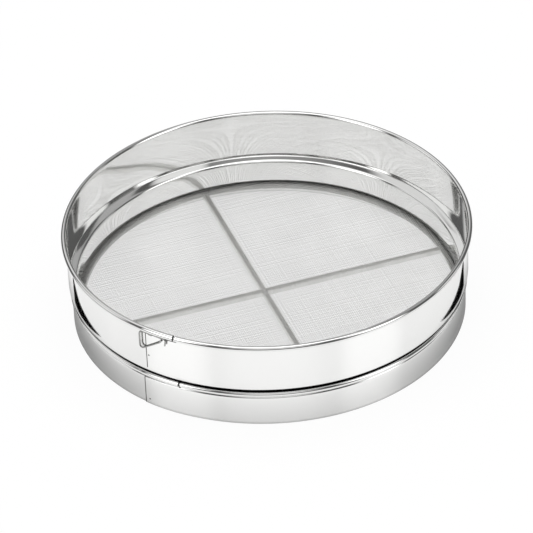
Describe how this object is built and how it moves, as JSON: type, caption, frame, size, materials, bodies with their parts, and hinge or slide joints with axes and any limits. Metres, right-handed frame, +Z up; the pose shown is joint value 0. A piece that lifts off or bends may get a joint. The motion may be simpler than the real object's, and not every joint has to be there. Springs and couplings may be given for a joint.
{
  "type": "tamis drum sieve",
  "caption": "Round stainless drum sieve: a rolled-rim drum over a base hoop, with flat wire cloth clamped between them, crossed support bars below and a wire hanging loop.",
  "frame": {"origin": "centre of the circle that the base hoop stands on", "axes": "+Z up through the rim; -Y towards the hanging loop"},
  "size_m": [0.3, 0.3002, 0.0712],
  "materials": {
    "hoop_steel": "bright polished stainless sheet",
    "wire_steel": "drawn stainless wire",
    "cloth_steel": "plain-woven stainless wire cloth",
    "ring_steel": "cold-rolled stainless sheet",
    "bar_steel": "satin stainless channel",
    "loop_steel": "bright drawn stainless wire"
  },
  "bodies": {
    "sieve": {"drum_hoop": "hoop_steel", "rim_wire": "wire_steel", "base_hoop": "hoop_steel", "base_wire": "wire_steel", "screen_cloth": "cloth_steel", "support_ring": "ring_steel", "upper_cross_bar": "bar_steel", "lower_cross_bar": "bar_steel"},
    "loop": {"hanging_loop": "loop_steel"}
  },
  "joints": [
    {"name": "loop_swing", "type": "hinge", "parent": "sieve", "child": "loop", "pos_m": [0, -0.148, 0.0661], "axis": [-1, 0, 0], "range_deg": [0, 100]}
  ]
}
